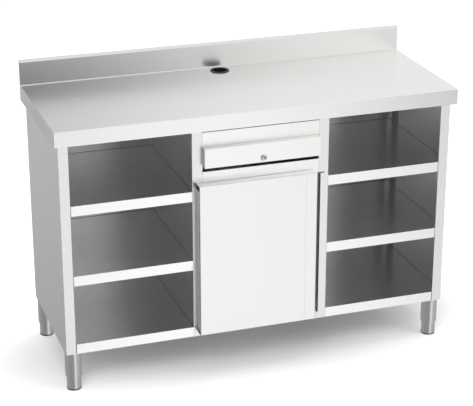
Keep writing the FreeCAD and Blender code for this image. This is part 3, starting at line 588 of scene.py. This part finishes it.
for name, mesh, body, node in (
        ("lock_collar", turned_mesh("lock_collar", in_metres(collar), LOCK_SIDES),
         "drawer", "lock_body"),
        ("lock_key_plug", cut_away(plug_blank, slot_box), "lock", "lock_plug")):
    mesh.transform(outward)
    mesh.materials.clear()
    mesh.materials.append(chrome)
    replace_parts(placed(name, mesh, body), node)

# ----------------------------------------------------------------- door
# A folded stainless skin, very finely brushed upright and lined behind; the wall of the
# grip is glued to its back, and along that edge the skin carries a faint painted shade line.
DOOR_TONE, DOOR_GLOSS, DOOR_RELIEF = (0.96, 0.96, 0.95), (0.269, 0.271), 0.008
GRIP_WALL_X, SHADE_LINE_WIDTH, SHADE_LINE_TONE = 0.1585, 0.0024, 0.93


def math_node(tree, kind, first, second=0.0):
    """One sum, of sockets or numbers."""
    node = tree.nodes.new("ShaderNodeMath")
    node.operation = kind
    for socket, value in zip(node.inputs, (first, second)):
        if hasattr(value, "is_linked"):
            wire(tree, value, socket)
        else:
            socket.default_value = value
    return node.outputs[0]


door_steel = satin_steel("door_upright", DOOR_TONE, "Z", DOOR_GLOSS, relief=DOOR_RELIEF)
dress(door_steel, "door_liner", "door_grip_channel")
skin_steel = door_steel.copy()
skin_steel.name = "door_skin_upright"
tree = skin_steel.node_tree
surface = next(n for n in tree.nodes if n.type == "BSDF_PRINCIPLED")
plain = surface.inputs["Base Color"].links[0].from_socket
place = tree.nodes.new("ShaderNodeSeparateXYZ")
wire(tree, stretched(tree), place.inputs["Vector"])
offset = math_node(tree, "ABSOLUTE",
                   math_node(tree, "SUBTRACT", place.outputs["X"], GRIP_WALL_X))
# Painted shade: a narrow darker line on the skin along the edge of the glued grip wall.
shade_line = remap(tree, offset, 1.0, 0.0, SHADE_LINE_WIDTH / 4, SHADE_LINE_WIDTH)
wire(tree, mixed(tree, shade_line, plain, (SHADE_LINE_TONE * DOOR_TONE[0],) * 3),
     surface.inputs["Base Color"])
dress(skin_steel, "door_skin")

# ----------------------------------------------------------------- floor
# A pale painted studio floor. For the eye it has a painted glow that grows away from the
# counter, so it is white there and the counter's shadow ends close by; the steel looks mostly
# through it, at the surround below.
FLOOR_REACH, FLOOR_TONE, FLOOR_ROUGHNESS, FLOOR_SPECULAR = 14.0, 0.82, 0.9, 0.1
GLOW_SHAPE, GLOW_START, GLOW_FULL, GLOW_STRENGTH = (0.5, 1.2, 1), 0.20, 0.75, 0.6
SEEN_THROUGH = 0.85


def ramp(tree, value, from_low, from_high, low, high):
    """Low before from_low, high after from_high, and a smooth change between."""
    node = tree.nodes.new("ShaderNodeMapRange")
    node.interpolation_type = "SMOOTHSTEP"
    for key, number in (("From Min", from_low), ("From Max", from_high),
                        ("To Min", low), ("To Max", high)):
        if hasattr(number, "is_linked"):
            wire(tree, number, node.inputs[key])
        else:
            node.inputs[key].default_value = number
    wire(tree, value, node.inputs["Value"])
    return node.outputs["Result"]


floor_mesh = bpy.data.meshes.new("floor")
floor_mesh.from_pydata([(x * FLOOR_REACH, y * FLOOR_REACH, 0)
                        for x, y in ((-1, -1), (1, -1), (1, 1), (-1, 1))], [], [(0, 1, 2, 3)])
floor = bpy.data.objects.new("floor", floor_mesh)
scene.collection.objects.link(floor)
floor_paint, tree, surface = shader("floor_paint")
surface.inputs["Base Color"].default_value = (*(FLOOR_TONE,) * 3, 1)
surface.inputs["Roughness"].default_value = FLOOR_ROUGHNESS
surface.inputs["Specular IOR Level"].default_value = FLOOR_SPECULAR
distance = tree.nodes.new("ShaderNodeVectorMath")
distance.operation = "LENGTH"
wire(tree, stretched(tree, GLOW_SHAPE), distance.inputs[0])
# Painted light: the floor glows for the eye, more with distance from the counter.
painted_glow = ramp(tree, distance.outputs["Value"], GLOW_START, GLOW_FULL, 0.0, GLOW_STRENGTH)
path = tree.nodes.new("ShaderNodeLightPath")
glow = tree.nodes.new("ShaderNodeEmission")
wire(tree, math_node(tree, "MULTIPLY", path.outputs["Is Camera Ray"], painted_glow),
     glow.inputs["Strength"])
added = tree.nodes.new("ShaderNodeAddShader")
wire(tree, surface.outputs["BSDF"], added.inputs[0])
wire(tree, glow.outputs["Emission"], added.inputs[1])
through = tree.nodes.new("ShaderNodeBsdfTransparent")
choice = tree.nodes.new("ShaderNodeMixShader")
wire(tree, math_node(tree, "MULTIPLY", path.outputs["Is Glossy Ray"], SEEN_THROUGH),
     choice.inputs["Fac"])
wire(tree, added.outputs["Shader"], choice.inputs[1])
wire(tree, through.outputs["BSDF"], choice.inputs[2])
output = next(n for n in tree.nodes if n.type == "OUTPUT_MATERIAL")
wire(tree, choice.outputs["Shader"], output.inputs["Surface"])
floor_mesh.materials.append(floor_paint)

# ----------------------------------------------------------------- surround
# The surround is white to the eye. The steel sees a bright hall below and in
# front to the right, a dim one to the left, and an even sky behind; each set of
# four holds the directions where a change starts and ends, then its two levels.
DIM_SIDE, DIM_FALL = (-0.9, 0.9, 0.27, 0.44), (-0.45, -0.31, 0.80, 1.18)
NEAR_RIGHT, RIGHT_TURN, FAR_RIGHT = (0.31, 0.50, 1.24, 0.50), (-0.35, 0.25), 0.36
AHEAD, BEHIND = (0.15, 0.37, 0.14, 1.36), (0.08, 0.34, 0.58, 1.03)
LEFT_TO_RIGHT, FRONT_TO_BACK, HORIZON = (-0.12, 0.28), (-0.5, 0.4), (-0.12, 0.12)
SKY_START, SKY_FULL, SKY_LEVEL, SOFT_LEVEL = 0.5, 0.9, 0.95, 0.5
world = bpy.data.worlds.new("surround")
scene.world = world
world.use_nodes = True
tree = world.node_tree
background = next(n for n in tree.nodes if n.type == "BACKGROUND")
background.inputs["Color"].default_value = (1, 1, 1, 1)
coordinates = tree.nodes.new("ShaderNodeTexCoord")
parts = tree.nodes.new("ShaderNodeSeparateXYZ")
wire(tree, coordinates.outputs["Generated"], parts.inputs["Vector"])
east, north, height = (parts.outputs[axis] for axis in "XYZ")
dim_left = math_node(tree, "MULTIPLY", ramp(tree, north, *DIM_SIDE),
                     ramp(tree, height, *DIM_FALL))
bright_right = ramp(tree, north, *RIGHT_TURN, ramp(tree, east, *NEAR_RIGHT), FAR_RIGHT)
below = ramp(tree, east, *LEFT_TO_RIGHT, dim_left, bright_right)
all_round = ramp(tree, north, *FRONT_TO_BACK, ramp(tree, east, *AHEAD),
                 ramp(tree, east, *BEHIND))
above = ramp(tree, height, SKY_START, SKY_FULL, all_round, SKY_LEVEL)
seen_in_steel = ramp(tree, height, *HORIZON, below, above)
path = tree.nodes.new("ShaderNodeLightPath")
mirrored = math_node(tree, "MAXIMUM", path.outputs["Is Glossy Ray"],
                     path.outputs["Is Transmission Ray"])
in_steel = math_node(tree, "MULTIPLY", mirrored, seen_in_steel)
direct = path.outputs["Is Camera Ray"]
other = math_node(tree, "SUBTRACT", 1.0, math_node(tree, "MAXIMUM", mirrored, direct))
soft = math_node(tree, "MULTIPLY", other, SOFT_LEVEL)
total = math_node(tree, "ADD", math_node(tree, "ADD", in_steel, direct), soft)
wire(tree, total, background.inputs["Strength"])

# ----------------------------------------------------------------- lamps
# Three square soft boxes: the key from the front left, a weaker one from the
# right, and one over the counter. The steel doesn't mirror their outlines.
SOFT_BOXES = (("key", (-2.2, -3.4, 3.6), (0, 0, 0.5), 2.6, 120),
              ("fill", (3.2, -2.6, 2.4), (0, 0, 0.6), 2.4, 45),
              ("top", (0.3, 0.2, 4.2), (0, 0, 0.9), 3.0, 70))
for name, place, aim, size, power in SOFT_BOXES:
    data = bpy.data.lights.new(name, "AREA")
    data.shape = "SQUARE"
    data.size = size
    data.energy = power
    lamp = bpy.data.objects.new(name, data)
    scene.collection.objects.link(lamp)
    lamp.location = place
    lamp.rotation_euler = (Vector(aim) - Vector(place)).to_track_quat("-Z", "Y").to_euler()
    lamp.visible_glossy = False

scene.view_settings.view_transform = "Standard"
